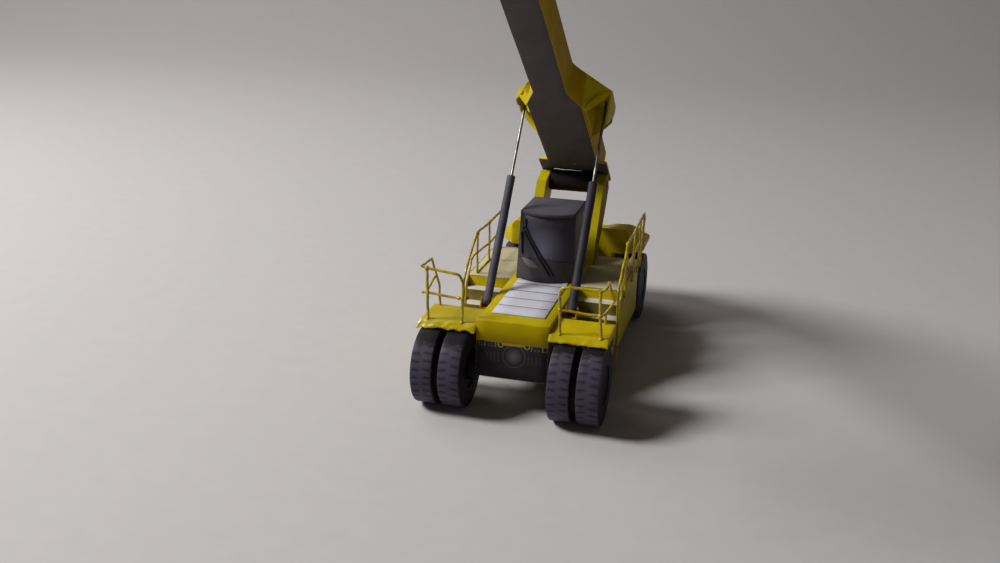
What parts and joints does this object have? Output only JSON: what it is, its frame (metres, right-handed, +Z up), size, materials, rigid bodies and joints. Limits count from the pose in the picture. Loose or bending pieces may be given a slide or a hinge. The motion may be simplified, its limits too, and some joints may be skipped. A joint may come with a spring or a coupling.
{
  "type": "model container reach stacker",
  "caption": "Card and wire scale model of a container reach stacker: twin front wheels, platforms with rails, a cab, and a telescopic lifting boom with a spreader.",
  "frame": {"origin": "on the ground, in the middle of the model's length and width: midway between the spreader's front edge and the counterweight's tail", "axes": "+X to the machine's left, -Y to its front, where the boom reaches, +Z up"},
  "size_m": [0.1222, 0.2404, 0.2167],
  "materials": {
    "yellow_card_box": "printed card, folded and closed",
    "yellow_card": "printed card sheet",
    "grey_card": "printed card sheet",
    "white_card": "printed card sheet",
    "cab_card": "printed card, folded and closed",
    "tread_card": "printed card sheet",
    "yellow_wire": "painted wire",
    "steel_wire": "bare wire",
    "black_card": "black card",
    "tyre_card": "printed card drum",
    "orange_card": "printed card",
    "cylinder_paper": "rolled paper"
  },
  "bodies": {
    "chassis": {"axle_panel": "grey_card", "cab_body": "cab_card", "cab_roof": "cab_card", "chassis_box": "yellow_card_box", "counterweight": "yellow_card_box", "deck_louvre": "white_card", "deck_rail_left": "yellow_wire", "deck_rail_right": "yellow_wire", "engine_hood": "yellow_card_box", "front_axle": "black_card", "front_panel": "yellow_card", "hinge_pin": "steel_wire", "lift_bracket_left": "orange_card", "lift_bracket_right": "orange_card", "platform_left": "tread_card", "platform_right": "tread_card", "rear_axle": "black_card", "side_panel_left": "yellow_card", "side_panel_right": "yellow_card", "stair_left": "yellow_card_box", "stair_right": "yellow_card_box", "tower_left": "yellow_card_box", "tower_right": "yellow_card_box", "wing_left": "yellow_card", "wing_rail_left": "yellow_wire", "wing_rail_right": "yellow_wire", "wing_right": "yellow_card"},
    "front_wheels_left": {"front_tyre_left": "tyre_card", "front_hub_left": "black_card"},
    "front_wheels_right": {"front_tyre_right": "tyre_card", "front_hub_right": "black_card"},
    "rear_wheel_left": {"rear_tyre_left": "tyre_card", "rear_hub_left": "black_card"},
    "rear_wheel_right": {"rear_tyre_right": "tyre_card", "rear_hub_right": "black_card"},
    "boom": {"boom_bracket_left": "yellow_card", "boom_bracket_right": "yellow_card", "boom_collar": "yellow_card", "boom_foot": "black_card", "boom_outer": "yellow_card_box"},
    "boom_extension": {"boom_head": "yellow_card_box", "boom_inner": "yellow_card_box"},
    "lift_barrel_left": {"lift_barrel_left": "cylinder_paper"},
    "lift_barrel_right": {"lift_barrel_right": "cylinder_paper"},
    "lift_rod_left": {"lift_rod_left": "steel_wire"},
    "lift_rod_right": {"lift_rod_right": "steel_wire"},
    "rotator": {"rotator": "black_card"},
    "spreader": {"spreader_arms": "yellow_card_box", "spreader_beam": "yellow_card_box", "twistlocks": "black_card"}
  },
  "joints": [
    {"name": "front_wheels_left_spin", "type": "hinge", "parent": "chassis", "child": "front_wheels_left", "pos_m": [0.0285, -0.03181, 0.0167], "axis": [1, 0, 0], "continuous": true},
    {"name": "rear_wheel_left_spin", "type": "hinge", "parent": "chassis", "child": "rear_wheel_left", "pos_m": [0.0314, 0.09259, 0.0167], "axis": [1, 0, 0], "continuous": true},
    {"name": "front_wheels_right_spin", "type": "hinge", "parent": "chassis", "child": "front_wheels_right", "pos_m": [-0.0285, -0.03181, 0.0167], "axis": [1, 0, 0], "continuous": true},
    {"name": "rear_wheel_right_spin", "type": "hinge", "parent": "chassis", "child": "rear_wheel_right", "pos_m": [-0.0314, 0.09259, 0.0167], "axis": [1, 0, 0], "continuous": true},
    {"name": "boom_lift", "type": "hinge", "parent": "chassis", "child": "boom", "pos_m": [0, 0.08269, 0.071], "axis": [-1, 0, 0], "range_deg": [-37.36, 22.64]},
    {"name": "boom_extend", "type": "slide", "parent": "boom", "child": "boom_extension", "axis": [0, -0.7948, 0.6068], "range_m": [-0.034, 0.058]},
    {"name": "spreader_level", "type": "hinge", "parent": "boom_extension", "child": "rotator", "pos_m": [0, -0.09499, 0.20577], "axis": [-1, 0, 0], "range_deg": [-24, 38]},
    {"name": "spreader_turn", "type": "hinge", "parent": "rotator", "child": "spreader", "pos_m": [0, -0.09499, 0.20577], "axis": [0, 0, 1], "range_deg": [-40, 40]},
    {"name": "lift_barrel_left_tilt", "type": "hinge", "parent": "chassis", "child": "lift_barrel_left", "pos_m": [0.0188, -0.00491, 0.0368], "axis": [-1, 0, 0], "range_deg": [-6, 6]},
    {"name": "lift_rod_left_slide", "type": "slide", "parent": "lift_barrel_left", "child": "lift_rod_left", "axis": [0, 0.6145, 0.7889], "range_m": [-0.036, 0.024]},
    {"name": "lift_barrel_right_tilt", "type": "hinge", "parent": "chassis", "child": "lift_barrel_right", "pos_m": [-0.0188, -0.00491, 0.0368], "axis": [-1, 0, 0], "range_deg": [-6, 6]},
    {"name": "lift_rod_right_slide", "type": "slide", "parent": "lift_barrel_right", "child": "lift_rod_right", "axis": [0, 0.6145, 0.7889], "range_m": [-0.036, 0.024]}
  ],
  "couplings": [
    {"joint": "spreader_level", "follows": "boom_lift", "ratio": -1},
    {"joint": "lift_barrel_left_tilt", "follows": "boom_lift", "ratio": 0.12},
    {"joint": "lift_rod_left_slide", "follows": "boom_lift", "m_per_rad": 0.050456},
    {"joint": "lift_barrel_right_tilt", "follows": "boom_lift", "ratio": 0.12},
    {"joint": "lift_rod_right_slide", "follows": "boom_lift", "m_per_rad": 0.050456}
  ]
}
